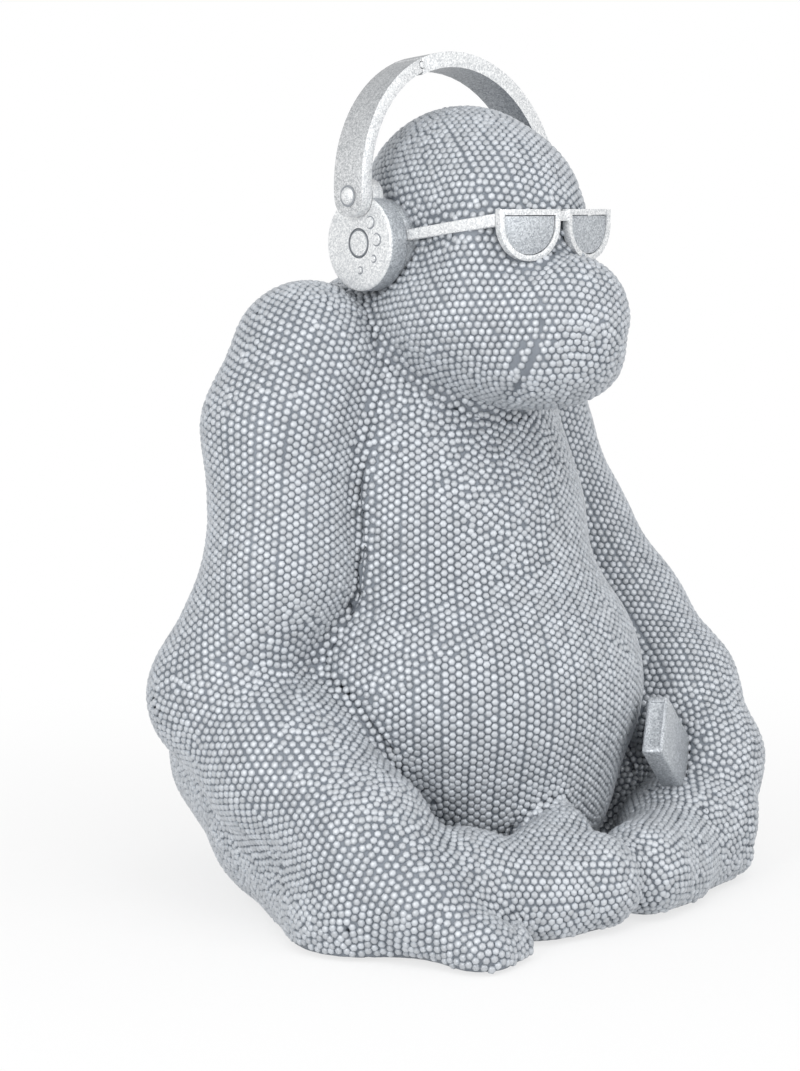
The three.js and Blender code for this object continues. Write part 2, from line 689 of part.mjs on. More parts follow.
const headHollow = skin(hollowField(form.head, []), HEAD_HOLLOW_SPINE, 6, 14, 3)
  .add(upright(NECK_BORE_RADIUS, 0, neckTop, 0, NECK[1][1], 20));
let head = headSkin(castingField(form.head))
  .add(neckPlug)
  .subtract(headHollow)
  .subtract(bridgeSeat);
for (const side of [-1, 1]) {
  head = head
    .subtract(cushion(side, CLEARANCE))
    .subtract(cupRoom(side, cupInnerX - CLEARANCE))
    .subtract(temple(side, CLEARANCE))
    .subtract(rimSeat(side));
}
place('head', head, paint.studs);

const rightArm = limbSkin(castingField(form.rightArm), RIGHT_ARM_SPINE)
  .subtract(belowBase)
  .subtract(seat.head)
  .subtract(neckSocket)
  .subtract(cupRoom(-1, CUSHION_INNER_X));
place('right_arm', rightArm, paint.studs);
const leftArm = limbSkin(castingField(form.leftArm), LEFT_ARM)
  .subtract(belowBase)
  .subtract(seat.head)
  .subtract(neckSocket)
  .subtract(cupRoom(1, CUSHION_INNER_X))
  .subtract(phoneSlot);
place('left_arm', leftArm, paint.studs);

// The feet meet on the middle plane, each with a flat seam face
function otherHalf(side) {
  return box(ROOM, ROOM, ROOM, (-side * (ROOM - CLEARANCE)) / 2, 0, 0);
}

const rightLeg = limbSkin(castingField(form.rightLeg), RIGHT_LEG_SPINE)
  .subtract(belowBase)
  .subtract(seat.rightArm)
  .subtract(otherHalf(-1));
place('right_leg', rightLeg, paint.studs);
const leftLeg = limbSkin(castingField(form.leftLeg), LEFT_LEG_SPINE)
  .subtract(belowBase)
  .subtract(seat.leftArm)
  .subtract(phoneSlot)
  .subtract(otherHalf(1));
place('left_leg', leftLeg, paint.studs);

// Pieces glued onto the castings
for (const [side, name] of [[-1, 'right'], [1, 'left']]) {
  const thickness = side < 0 ? BAND_THICK_RIGHT : BAND_THICK_LEFT;
  place(`${name}_ear_cushion`, cushion(side, 0), paint.smooth);
  place(`${name}_ear_cup`, cup(side), paint.smooth);
  place(`${name}_headband`, band(side, thickness), paint.smooth);
  place(`${name}_band_pin`, bandPin(side, thickness), paint.smooth);
  place(`${name}_lens`, lens(side), paint.smooth);
  place(`${name}_temple`, temple(side, 0), paint.smooth);
}
place('headband_hinge_pin', hinge(HINGE_RADIUS, BAND_WIDTH + 2 * HINGE_PROUD), paint.smooth);
place('glasses_front', rim(-1).add(rim(1)).add(bridge), paint.smooth);
place('phone', phone, paint.smooth);
for (const [name, x, y] of PAD_SPOTS) {
  place(name, upright(PAD_RADIUS, 0, PAD_THICKNESS - CLEARANCE, x, y, 20), paint.felt);
}

export default figure;
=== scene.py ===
import math

import bpy
import numpy as np
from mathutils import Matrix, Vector
from mathutils.bvhtree import BVHTree
from mathutils.kdtree import KDTree


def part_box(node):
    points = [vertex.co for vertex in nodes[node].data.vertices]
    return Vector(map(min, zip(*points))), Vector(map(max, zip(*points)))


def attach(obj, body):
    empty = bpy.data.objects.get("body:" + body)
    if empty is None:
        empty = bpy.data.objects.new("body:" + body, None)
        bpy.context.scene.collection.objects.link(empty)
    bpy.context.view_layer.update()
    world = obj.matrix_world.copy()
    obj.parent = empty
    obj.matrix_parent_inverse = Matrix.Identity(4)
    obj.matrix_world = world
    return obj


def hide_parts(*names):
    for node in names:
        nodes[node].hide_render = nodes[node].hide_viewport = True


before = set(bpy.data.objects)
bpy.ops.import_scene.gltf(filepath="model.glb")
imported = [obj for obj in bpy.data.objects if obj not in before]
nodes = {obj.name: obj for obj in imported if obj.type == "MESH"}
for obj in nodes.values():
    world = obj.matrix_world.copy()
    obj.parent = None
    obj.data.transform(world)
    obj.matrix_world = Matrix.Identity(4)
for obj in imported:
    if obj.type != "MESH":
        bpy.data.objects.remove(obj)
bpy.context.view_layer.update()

# Stage: a sheet of white paper as the floor and a camera a metre off, at the ornament's right front.
# Soft lamps above, beside and before it, and a pale surround, light it evenly.
MM = 0.001
FLOOR_SIZE = 8.0
FADE_START, FADE_END = 0.1, 0.5
UNDER_ORNAMENT = 0.72
SURROUND = 0.7


def linear(code):
    """sRGB hex colour to linear RGBA."""
    parts = [int(code[i:i + 2], 16) / 255 for i in (1, 3, 5)]
    return [c / 12.92 if c <= 0.04045 else ((c + 0.055) / 1.055) ** 2.4 for c in parts] + [1.0]


def add_node(material, kind, settings=None, **links):
    """A shader node with its settings; links gives inputs, by name or as i and a number, their values."""
    made = material.node_tree.nodes.new(kind)
    for name, value in (settings or {}).items():
        setattr(made, name, value)
    for name, value in links.items():
        numbered = name[0] == "i" and name[1:].isdigit()
        socket = made.inputs[int(name[1:]) if numbered else name.replace("_", " ")]
        if isinstance(value, bpy.types.NodeSocket):
            material.node_tree.links.new(value, socket)
        else:
            socket.default_value = value
    return made


def new_material(name):
    """A material with nodes, and its shader."""
    material = bpy.data.materials.new(name)
    material.use_nodes = True
    return material, material.node_tree.nodes["Principled BSDF"]


def seen_directly(material):
    """An output that is 1 where the camera sees this, also mirrored or through glass."""
    rays = add_node(material, "ShaderNodeLightPath")
    shown = add_node(material, "ShaderNodeMath", {"operation": "MAXIMUM"},
                     i0=rays.outputs["Is Camera Ray"], i1=rays.outputs["Is Glossy Ray"])
    shown = add_node(material, "ShaderNodeMath", {"operation": "MAXIMUM"},
                     i0=shown.outputs[0], i1=rays.outputs["Is Transmission Ray"])
    return shown.outputs[0]


bpy.ops.object.select_all(action="DESELECT")
bpy.ops.mesh.primitive_plane_add(size=FLOOR_SIZE, location=(0, 0, 0))
floor = bpy.context.object
floor.name = "floor"
# Matt paper has no shine; it shows white to the camera, and greyer towards the ornament that stands on it
paper, paper_shader = new_material("matt white paper sheet")
paper_shader.inputs["Base Color"].default_value = linear("#f6f6f6")
paper_shader.inputs["Roughness"].default_value = 0.9
spread = add_node(paper, "ShaderNodeTexCoord")
apart = add_node(paper, "ShaderNodeVectorMath", {"operation": "LENGTH"}, i0=spread.outputs["Object"])
fade = add_node(paper, "ShaderNodeMapRange", {"interpolation_type": "SMOOTHSTEP"},
                Value=apart.outputs["Value"], From_Min=FADE_START, From_Max=FADE_END,
                To_Min=UNDER_ORNAMENT, To_Max=1.0)
glow = add_node(paper, "ShaderNodeMath", {"operation": "MULTIPLY"},
                i0=seen_directly(paper), i1=fade.outputs[0])
white = add_node(paper, "ShaderNodeEmission", Color=(1, 1, 1, 1), Strength=1.0)
lit = add_node(paper, "ShaderNodeMixShader",
               i0=glow.outputs[0], i1=paper_shader.outputs[0], i2=white.outputs[0])
paper.node_tree.links.new(lit.outputs[0], paper.node_tree.nodes["Material Output"].inputs["Surface"])
floor.data.materials.append(paper)

# The camera, with its focal length and the place of its axis in pixels of the picture
AZIMUTH, ELEVATION, DISTANCE = -43.74, 5.87, 1.1088
MIDDLE = Vector((0, 0, 0.175))
PICTURE_WIDTH, PICTURE_HEIGHT = 800, 1071
AXIS_X, AXIS_Y = 447.4, 470.25
FOCAL_LENGTH = 2622.8
SENSOR = 36.0
turn, lift = math.radians(AZIMUTH), math.radians(ELEVATION)
away = Vector((math.sin(turn) * math.cos(lift), -math.cos(turn) * math.cos(lift), math.sin(lift)))
camera = bpy.data.objects.new("camera", bpy.data.cameras.new("camera"))
bpy.context.collection.objects.link(camera)
camera.location = MIDDLE + away * DISTANCE
camera.rotation_euler = (-away).to_track_quat("-Z", "Y").to_euler()
camera.data.sensor_fit = "VERTICAL"
camera.data.sensor_height = SENSOR
camera.data.lens = SENSOR * FOCAL_LENGTH / PICTURE_HEIGHT
camera.data.shift_x = (PICTURE_WIDTH / 2 - AXIS_X) / PICTURE_HEIGHT
camera.data.shift_y = (AXIS_Y - PICTURE_HEIGHT / 2) / PICTURE_HEIGHT
camera.data.dof.use_dof = False
bpy.context.scene.camera = camera

world = bpy.data.worlds.new("studio")
world.use_nodes = True
sky = world.node_tree.nodes["Background"]
sky.inputs["Color"].default_value = (1, 1, 1, 1)
strength = add_node(world, "ShaderNodeMapRange", Value=seen_directly(world), To_Min=SURROUND, To_Max=1.0)
world.node_tree.links.new(strength.outputs[0], sky.inputs["Strength"])
bpy.context.scene.world = world

LAMP_AIM = Vector((0, 0, 0.16))


def lamp(name, place, size, power):
    """A round soft lamp, turned towards the ornament."""
    light = bpy.data.lights.new(name, "AREA")
    light.shape = "DISK"
    light.size = size
    light.energy = power
    stand = bpy.data.objects.new(name, light)
    bpy.context.collection.objects.link(stand)
    stand.location = place
    stand.rotation_euler = (LAMP_AIM - Vector(place)).to_track_quat("-Z", "Y").to_euler()


lamp("overhead softbox", (-0.4, -0.9, 1.5), 0.8, 5)
lamp("side softbox", (-1.5, -0.5, 0.6), 0.7, 10)
lamp("front softbox", (0.3, -1.7, 0.6), 0.8, 6.5)
bpy.context.scene.view_settings.view_transform = "Standard"

# Body form: the sculpted shape that every casting of the animal is cut from, in millimetres.
# It is built of rounded masses and of tapered limbs that run softly into each other.
TORSO_BLEND, HEAD_BLEND, NECK_BLEND, LIMB_BLEND, HAND_BLEND = 16, 14, 7, 8, 3


def mass(x, y, z, rx, ry, rz):
    """Distance from an egg-shaped mass, by its middle and its half sizes."""
    at, radii = np.array((x, y, z)), np.array((rx, ry, rz))

    def field(p):
        q = (p - at) / radii
        size = np.sqrt((q * q).sum(1))
        slant = np.sqrt(((q / radii) ** 2).sum(1))
        return size * (size - 1) / np.maximum(slant, 1e-9)
    return field


def bone(a, b):
    """Distance from a tapered rod between two places, each with its radius."""
    start, way = np.array(a[:3]), np.array(b[:3]) - np.array(a[:3])
    length2 = way @ way

    def field(p):
        t = np.clip((p - start) @ way / length2, 0, 1)
        off = p - start - t[:, None] * way
        return np.sqrt((off * off).sum(1)) - a[3] - (b[3] - a[3]) * t
    return field


def softly(blend, fields):
    """Several shapes as one, run into each other over a blend in millimetres."""
    def field(p):
        value = fields[0](p)
        for other in fields[1:]:
            next_value = other(p)
            h = np.maximum(blend - np.abs(value - next_value), 0) / blend
            value = np.minimum(value, next_value) - h * h * blend / 4
        return value
    return field


def limb(stations):
    """A limb through stations of place and radius."""
    return softly(LIMB_BLEND, [bone(a, b) for a, b in zip(stations, stations[1:])])


def mirrored(stations):
    """The same stations on the animal's other side."""
    return [(-s[0],) + tuple(s[1:]) for s in stations]


RIGHT_LEG = [(-49, 58, 54, 44), (-70, 16, 35, 36), (-92, -50, 13, 30), (-64, -75, 18, 25),
             (-37, -90, 16, 20), (-15.5, -99, 19, 20)]
form = {
    "torso": softly(TORSO_BLEND, [
        mass(0, -2, 86, 83, 81, 70), mass(0, -12, 40, 60, 60, 44), mass(0, 43.7, 46, 78, 76.5, 62),
        mass(0, 40, 120, 72, 60, 90), mass(0, 6, 150, 65, 62, 66), mass(0, 24, 190, 68, 58, 64),
        mass(0, 25, 226, 53, 41, 36), bone((0, 8, 228, 36), (0, 12, 212, 44)),
    ]),
    "right_leg": softly(LIMB_BLEND, [limb(RIGHT_LEG), bone((-28, -84, 30, 13), (-12, -80, 35, 11))]),
    "left_leg": limb(mirrored(RIGHT_LEG)),
    "right_arm": softly(LIMB_BLEND, [
        limb([(-58, 22, 224, 32), (-74, 21, 196, 31), (-84, 10, 140, 29), (-98, 29, 88, 30),
              (-95, -6, 64, 32), (-93, -50, 40, 27), (-90, -78, 20, 20), (-86, -106, 7, 12)]),
        bone((-84, -108, 6, 11), (-69, -107, 5, 9)),
    ]),
    "left_arm": softly(LIMB_BLEND, [
        limb([(58, 24, 220, 31), (75, 28, 188, 28), (89, 14, 144, 26), (98.5, -8, 104, 29),
              (99, -40, 74, 28), (94, -64, 48, 24), (82, -76, 28, 21)]),
        softly(HAND_BLEND, [mass(77, -76, 27, 19, 18, 17)]
               + [bone((84, -90, z, 7.5), (63, -87, z, 7.5)) for z in (11, 22, 33)]),
    ]),
    "head": softly(HEAD_BLEND, [
        mass(0, -10, 284, 37, 49, 43.5), mass(0, -23, 241, 47, 50, 37), mass(0, -38, 286, 31, 22, 24),
        mass(0, -44, 264, 36, 18, 26), mass(0, -65, 241, 27, 30, 28.5), mass(0, -56, 222, 30, 29, 16),
    ]),
}
CASTINGS = ["head", "right_arm", "left_arm", "right_leg", "left_leg", "torso"]
BELOW_NECK = ("torso", "right_leg", "left_leg", "right_arm", "left_arm")
below_neck = softly(LIMB_BLEND, [form[n] for n in BELOW_NECK])
whole = softly(NECK_BLEND, [below_neck, form["head"]])

# Lines pressed into the face, each with its width and depth: a shallow mouth, a hollow under each lens
# and two folds on each cheek
MOUTH = [(-17, -87.3, 232.5), (-5.7, -92.8, 231.1), (5.7, -92.8, 231.1), (17, -87.3, 232.5)]
FOLD = [(-24.4, -78.6, 241), (-25.4, -76.8, 230), (-26.6, -74.2, 223.6), (-26.6, -69.9, 217.1),
        (-23.2, -61.5, 210.6)]
SHORT_FOLD = [(-28.1, -71.9, 233.8), (-29.7, -69, 225.9), (-29.9, -67, 221.5)]
EYE_HOLLOW = [(-22, -70, 263), (-13, -72, 267), (-6, -70, 270)]
FOLDS = [FOLD, mirrored(FOLD), SHORT_FOLD, mirrored(SHORT_FOLD)]
PRESSED = [(MOUTH, 4.5, 0.9), (EYE_HOLLOW, 6.5, 5.0), (mirrored(EYE_HOLLOW), 6.5, 5.0)]
PRESSED += [(fold, 2.2, 2.8) for fold in FOLDS]
FACE_BEFORE, FACE_ABOVE = -50, 200


def from_line(line, p):
    """Distance of points p from a line of straight pieces."""
    return np.min([bone((*a, 0), (*b, 0))(p) for a, b in zip(line, line[1:])], axis=0)


def body(p):
    """Distance of points p from the sculpted surface, negative inside."""
    value = whole(p)
    face = (p[:, 1] < FACE_BEFORE) & (p[:, 2] > FACE_ABOVE)
    for line, width, depth in PRESSED:
        value[face] += depth * np.exp(-(from_line(line, p[face]) / width) ** 2)
    return value


TETRAHEDRON = np.array([(1, -1, -1), (-1, -1, 1), (-1, 1, -1), (1, 1, 1)], float)
PROBE = 0.05


def slope(p):
    """Outward unit direction of the body form at points p, without the pressed lines."""
    grown = sum(whole(p + PROBE * corner)[:, None] * corner for corner in TETRAHEDRON)
    return grown / np.maximum(np.sqrt((grown * grown).sum(1)), 1e-9)[:, None]


STEPS, STEP_SHARE = 5, 0.6


def onto(p, depth):
    """Points p moved onto the surface that lies depth below the form, and the outward directions there."""
    up = slope(p)
    for _ in range(STEPS):
        p = p - STEP_SHARE * (body(p) + depth)[:, None] * up
    return p, up


LAP = 6


def owner(p):
    """Index in CASTINGS of the casting that carries each point; limbs and head lap over the torso."""
    carrier = np.full(len(p), len(CASTINGS) - 1)
    for i in range(len(CASTINGS) - 2, -1, -1):
        carrier[form[CASTINGS[i]](p) < LAP] = i
    return carrier


# Castings: hollow resin shells, sprayed silver over a dark ground that stays in the recesses.
# The ground shows between the studs and on the plain rim that stands on the floor.
STUD_HEIGHT = 1.0
PLAIN_RIM = 3.2
MESH_SIZE, TORSO_MESH_SIZE = 1.5, 1.9
# A skin is drawn onto the form where it lies within reach of it and faces its way. It swells by the glue
# gap, so that skins meet, and each lies a hair deeper than the one before. It ends just above the floor.
REACH, REACH_AT_FLOOR, NEAR_FLOOR = 4, 7, 12
SAME_WAY = 0.4
GLUE, SWOLLEN_ABOVE = 1.2, 4
HAIR = 0.03
SKIN_FOOT = 1.6


def mottled(name, patch, detail, dark, light, roughness):
    """A material whose colour drifts between two tones in patches of a size in millimetres."""
    material, shader = new_material(name)
    place = add_node(material, "ShaderNodeTexCoord")
    noise = add_node(material, "ShaderNodeTexNoise", Vector=place.outputs["Object"],
                     Scale=1 / (patch * MM), Detail=detail)
    tint = add_node(material, "ShaderNodeMix", {"data_type": "RGBA"}, Factor=noise.outputs["Fac"],
                    i6=linear(dark), i7=linear(light))
    material.node_tree.links.new(tint.outputs[2], shader.inputs["Base Color"])
    shader.inputs["Roughness"].default_value = roughness
    return material, shader, noise


# A thin dull spray that keeps some metal in it, blotched where the silver coat over it was rubbed
ground, ground_shader, _ = mottled("dark ground coat on cast resin", 7, 5.0, "#646a72", "#8b9199", 0.55)
ground_shader.inputs["Metallic"].default_value = 0.3


def surface_of(node):
    """A tree that finds the nearest place on a node's solid."""
    mesh = nodes[node].data
    return BVHTree.FromPolygons([v.co[:] for v in mesh.vertices], [f.vertices[:] for f in mesh.polygons])


ACCESSORIES = [n for n in nodes if n not in CASTINGS and not n.startswith("felt") and n != "base_plug"]
covers = [(surface_of(n), *[np.array(corner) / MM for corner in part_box(n)]) for n in ACCESSORIES]
COVER_SEARCH, COVER_GAP = 2, 1.4


def uncovered(p):
    """True for each place that no glued-on piece covers or touches."""
    keep = np.ones(len(p), bool)
    for tree, low, high in covers:
        close = keep & (p > low - COVER_SEARCH).all(1) & (p < high + COVER_SEARCH).all(1)
        for i in np.nonzero(close)[0]:
            at = Vector(p[i] * MM)
            hit, facing, _, gap = tree.find_nearest(at)
            if gap < COVER_GAP * MM or (at - hit).dot(facing) < 0:
                keep[i] = False
    return keep


def copy_in_edit(node, name):
    """A copy of a node's solid as one closed mesh, active and left in edit mode, all selected."""
    bpy.ops.object.select_all(action="DESELECT")
    copy = bpy.data.objects.new(name, nodes[node].data.copy())
    bpy.context.collection.objects.link(copy)
    bpy.context.view_layer.objects.active = copy
    copy.select_set(True)
    bpy.ops.object.mode_set(mode="EDIT")
    bpy.ops.mesh.select_all(action="SELECT")
    bpy.ops.mesh.remove_doubles(threshold=1e-6)
    return copy


def per_vertex(piece, what):
    """One row of three numbers for each vertex of a piece."""
    values = np.empty(len(piece.data.vertices) * 3)
    piece.data.vertices.foreach_get(what, values)
    return values.reshape(-1, 3)


outside = {}


def casting_skin(index, node, mesh_size):
    """The solid evenly meshed anew, its outside drawn onto the smooth form under the studs."""
    skin = copy_in_edit(node, node + "_skin")
    bpy.ops.object.mode_set(mode="OBJECT")
    remesh = skin.modifiers.new("even mesh", "REMESH")
    remesh.mode = "VOXEL"
    remesh.voxel_size = mesh_size * MM
    bpy.ops.object.modifier_apply(modifier=remesh.name)
    p = per_vertex(skin, "co") / MM
    facing = per_vertex(skin, "normal")
    reach = np.where(p[:, 2] < NEAR_FLOOR, REACH_AT_FLOOR, REACH)
    outer = (np.abs(whole(p)) < reach) & ((facing * slope(p)).sum(1) > SAME_WAY)
    swollen = uncovered(p) & (p[:, 2] > SWOLLEN_ABOVE)
    p[swollen] += GLUE * facing[swollen]
    drawn, up = onto(p[outer], STUD_HEIGHT + HAIR * index)
    top = drawn + STUD_HEIGHT * up
    outside[node] = top[top[:, 2] > PLAIN_RIM]
    drawn[:, 2] = np.maximum(drawn[:, 2], SKIN_FOOT)
    p[outer] = drawn
    skin.data.vertices.foreach_set("co", (p * MM).ravel())
    skin.data.update()
    bpy.ops.object.shade_smooth()
    skin.data.materials.clear()
    skin.data.materials.append(ground)
    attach(skin, "root")
    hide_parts(node)


for index, node in enumerate(CASTINGS):
    casting_skin(index, node, TORSO_MESH_SIZE if node == "torso" else MESH_SIZE)

# Studs: small faceted beads cast with the skin, close packed in columns that run along each limb
# and over the head from back to front, with a seam after every fourth column.
# One stud is modelled and then set by the thousand.
PITCH = 3.3
COLUMN = 2.7
SEAM, TAPE = 0.6, 4
FOLD_GAP = 1.85
STUDS_IN_MESH = 4500
STUD_RADIUS, STUD_FOOT = 1.78, -1.25
STUD_RINGS = ((0.6, 0.9), (0.45, 0.76), (0.2, 0.52))

bpy.ops.object.select_all(action="DESELECT")
bpy.ops.mesh.primitive_circle_add(vertices=6, radius=STUD_RADIUS, fill_type="NGON",
                                  location=(0, 0, STUD_FOOT))
stud = bpy.context.object
bpy.ops.object.transform_apply(location=True)
bpy.ops.object.mode_set(mode="EDIT")
for rise, shrink in STUD_RINGS:
    bpy.ops.mesh.extrude_region_move(TRANSFORM_OT_translate={"value": (0, 0, rise)})
    bpy.ops.transform.resize(value=(shrink, shrink, 1))
bpy.ops.object.mode_set(mode="OBJECT")
stud_points = np.array([v.co[:] for v in stud.data.vertices])
# The stud's foot is sunk in the skin, so its bottom face is left out
open_faces = [f.vertices[:] for f in stud.data.polygons if f.center.z > STUD_FOOT + 0.05]
stud_corners = np.array([v for f in open_faces for v in f])
stud_sizes = np.array([len(f) for f in open_faces])
bpy.data.objects.remove(stud)

# Silver paint with little metal in it: a soft sheen. Its colour runs from darker on the stud flanks to
# brighter on the tops, partly dark ground left on the flanks, partly painted shade on the flanks and a
# painted highlight on the tops, and a little different from stud to stud
silver, silver_shader = new_material("silver paint on cast studs")
silver_shader.inputs["Metallic"].default_value = 0.35
silver_shader.inputs["Roughness"].default_value = 0.48
rise_for_highlight = add_node(silver, "ShaderNodeAttribute", {"attribute_name": "rise"})
stud_tone = add_node(silver, "ShaderNodeAttribute", {"attribute_name": "tone"})
wiped_and_highlight = add_node(silver, "ShaderNodeMix", {"data_type": "RGBA"}, Factor=rise_for_highlight.outputs["Fac"],
                 i6=linear("#969da5"), i7=linear("#c8ccd1"))
varied = add_node(silver, "ShaderNodeMix", {"data_type": "RGBA", "blend_type": "MULTIPLY"}, Factor=1.0,
                  i6=wiped_and_highlight.outputs[2], i7=stud_tone.outputs["Color"])
silver.node_tree.links.new(varied.outputs[2], silver_shader.inputs["Base Color"])

# Columns follow these lines down the middle of each limb, and one direction on the head.
# Laying starts at the skin point nearest to a casting's first stud.
SPINES = {
    "right_arm": [(-58, 22, 224), (-77, 19, 192), (-87, 9, 146), (-95, 8, 100), (-95, -16, 70),
                  (-91, -50, 43), (-85, -80, 24), (-79, -99, 10)],
    "left_arm": [(58, 24, 220), (75, 28, 188), (89, 14, 144), (99.4, -8, 104), (99, -40, 74),
                 (94, -64, 48), (80, -77, 26)],
    "right_leg": [(-47, 58, 52), (-64, 20, 34), (-76, -16, 22), (-74, -48, 16), (-56, -68, 17),
                  (-36, -86, 16), (-16, -97, 18)],
    "left_leg": [(47, 58, 52), (64, 20, 34), (76, -16, 22), (74, -48, 16), (56, -68, 17),
                 (36, -86, 16), (16, -97, 18)],
    "torso": [(0, 20, 0), (0, 20, 260)],
}
SPINE_BLEND = 22.0
HEAD_COLUMNS = (0.0, -0.62, -0.78)
FIRST_STUD = {"head": (-30, -50, 250), "right_arm": (-105, -15, 150), "left_arm": (105, -15, 130),
              "right_leg": (-50, -95, 25), "left_leg": (50, -95, 25), "torso": (-20, -80, 120)}


def column_way(node, p, up):
    """Unit direction of the columns on a casting at points p."""
    if node == "head":
        way = np.broadcast_to(HEAD_COLUMNS, up.shape)
    else:
        line = np.array(SPINES[node], float)
        middle = (line[1:] + line[:-1]) / 2
        ahead = np.diff(line, axis=0)
        ahead /= np.linalg.norm(ahead, axis=1)[:, None]
        far2 = ((p[:, None] - middle[None]) ** 2).sum(2)
        weight = np.exp(-(far2 - far2.min(1)[:, None]) / (2 * SPINE_BLEND ** 2))
        way = weight @ ahead
    way = way - (way * up).sum(1)[:, None] * up
    return way / np.maximum(np.linalg.norm(way, axis=1), 1e-6)[:, None]


taken = {}
NEIGHBOURS = [(i, j, k) for i in (-1, 0, 1) for j in (-1, 0, 1) for k in (-1, 0, 1)]


def free_spot(p, gap):
    """Takes the spot for a stud unless another one stands nearer than gap."""
    cell = (int(p[0] // PITCH), int(p[1] // PITCH), int(p[2] // PITCH))
    for i, j, k in NEIGHBOURS:
        for q in taken.get((cell[0] + i, cell[1] + j, cell[2] + k), ()):
            if (p[0] - q[0]) ** 2 + (p[1] - q[1]) ** 2 + (p[2] - q[2]) ** 2 < gap * gap:
                return False
    taken.setdefault(cell, []).append(p)
    return True


def beside_folds(p):
    """Distance of points p from the nearest cheek fold."""
    return np.min([from_line(fold, p) for fold in FOLDS], axis=0)


head_surface = surface_of("head")
LENS_LEVEL, SEAT_GAP, HOLLOW_GAP = 272, 1.3, 5


def seated(p):
    """True if the head's solid reaches here, also where the face is hollowed under a lens."""
    allowed = SEAT_GAP if p[2] > LENS_LEVEL else HOLLOW_GAP
    return head_surface.find_nearest(Vector(p * MM))[3] < allowed * MM


def may_stand(index, p):
    """True where a stud of this casting may stand."""
    good = (owner(p) == index) & (p[:, 2] > PLAIN_RIM)
    good[good] = uncovered(p[good])
    if CASTINGS[index] == "head":
        good &= beside_folds(p) > FOLD_GAP
        good[good] = [seated(q) for q in p[good]]
    return good


SIX_AROUND = ((1, 0), (-1, 0), (0.5, 1), (-0.5, 1), (0.5, -1), (-0.5, -1))
CLOSEST = 0.87 * PITCH
MOST_DRAWN, ON_SURFACE = 1.6, 0.2


def pack_studs(index, node):
    """Stud places, column directions and outward directions: each stud sets its six neighbours in turn."""
    spots = outside[node]
    start = spots[((spots - np.array(FIRST_STUD[node])) ** 2).sum(1).argmin()][None]
    p, up = onto(start, 0.0)
    way = column_way(node, p, up)
    column = np.zeros(1, int)
    free_spot(tuple(p[0]), 0.1)
    placed = [(p, way, up)]
    while len(p):
        across = np.cross(up, way)
        tries, parents, columns = [], [], []
        for along, step in SIX_AROUND:
            edge = (column % TAPE == TAPE - 1) if step > 0 else (column % TAPE == 0)
            sideways = step * (COLUMN + SEAM * edge)
            tries.append(p + along * PITCH * way + np.asarray(sideways).reshape(-1, 1) * across)
            parents.append(np.arange(len(p)))
            columns.append(column + step)
        tries, parents, columns = np.concatenate(tries), np.concatenate(parents), np.concatenate(columns)
        spot, spot_up = onto(tries, 0.0)
        good = (np.linalg.norm(spot - tries, axis=1) < MOST_DRAWN) & (np.abs(body(spot)) < ON_SURFACE)
        good[good] = may_stand(index, spot[good])
        good[good] = [free_spot(tuple(q), CLOSEST) for q in spot[good]]
        p, up, column = spot[good], spot_up[good], columns[good]
        before, way = way[parents[good]], column_way(node, p, up)
        way = np.where(((way * before).sum(1) < 0)[:, None], -way, way)
        placed.append((p, way, up))
    return [np.concatenate(part) for part in zip(*placed)]


def tree_of(points):
    """A tree that finds the nearest of some points."""
    tree = KDTree(len(points))
    for i, p in enumerate(points):
        tree.insert(p, i)
    tree.balance()
    return tree


BARE = 0.66 * PITCH
FILL_ROUNDS = 8


def fill_bare(node, places, ways, ups):
    """Studs for the bare spots where columns run out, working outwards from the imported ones."""
    spare = outside[node]
    spare = spare[uncovered(spare)]
    spare = spare[beside_folds(spare) > FOLD_GAP]
    for _ in range(FILL_ROUNDS):
        tree = tree_of(places)
        found = [tree.find(p) for p in spare]
        gaps = np.array([f[2] for f in found])
        wide = gaps > BARE
        spare, gaps, near = spare[wide], gaps[wide], np.array([f[1] for f in found], int)[wide]
        order = np.argsort(gaps)
        chosen = [i for i in order if free_spot(tuple(spare[i]), BARE)]
        if not chosen:
            break
        fresh, fresh_ups = onto(spare[chosen], 0.0)
        places = np.concatenate([places, fresh])
        ups = np.concatenate([ups, fresh_ups])
        ways = np.concatenate([ways, ways[near[chosen]]])
    return places, ways, ups


CELLS = 1000


def pairs_within(p, gap):
    """Index pairs of points nearer than gap, found cell by cell."""
    cells = np.floor(p / gap).astype(np.int64) + CELLS // 2
    key = (cells[:, 0] * CELLS + cells[:, 1]) * CELLS + cells[:, 2]
    order = np.argsort(key, kind="stable")
    ranked = key[order]
    found = []
    for i, j, k in NEIGHBOURS:
        wanted = key + (i * CELLS + j) * CELLS + k
        low, high = np.searchsorted(ranked, wanted, "left"), np.searchsorted(ranked, wanted, "right")
        for step in range(int((high - low).max())):
            one = np.nonzero(low + step < high)[0]
            other = order[low[one] + step]
            close = (one < other) & (((p[one] - p[other]) ** 2).sum(1) < gap * gap)
            found.append(np.stack([one[close], other[close]], 1))
    return np.concatenate(found)


PUSH_REACH, PUSH, LONGEST_MOVE = 1.3 * PITCH, 0.22, 0.5
EASE_ROUNDS = 12


def ease_apart(places, held):
    """Evens the packing: studs push each other towards the bare spots and stay on the surface."""
    for _ in range(EASE_ROUNDS):
        one, other = pairs_within(places, PUSH_REACH).T
        way = places[one] - places[other]
        far = np.linalg.norm(way, axis=1)[:, None]
        push = way / np.maximum(far, 1e-6) * (PUSH_REACH - far) ** 2 * PUSH
        move = np.zeros_like(places)
        np.add.at(move, one, push)
        np.add.at(move, other, -push)
        size = np.linalg.norm(move, axis=1)[:, None]
        move *= np.minimum(1, LONGEST_MOVE / np.maximum(size, 1e-9))
        places = places + np.where(held[:, None], 0, move)
        places, ups = onto(places, 0.0)
    return places, ups


beds = {}
for index, node in enumerate(CASTINGS):
    packed = pack_studs(index, node)
    beds[node] = fill_bare(node, *packed)

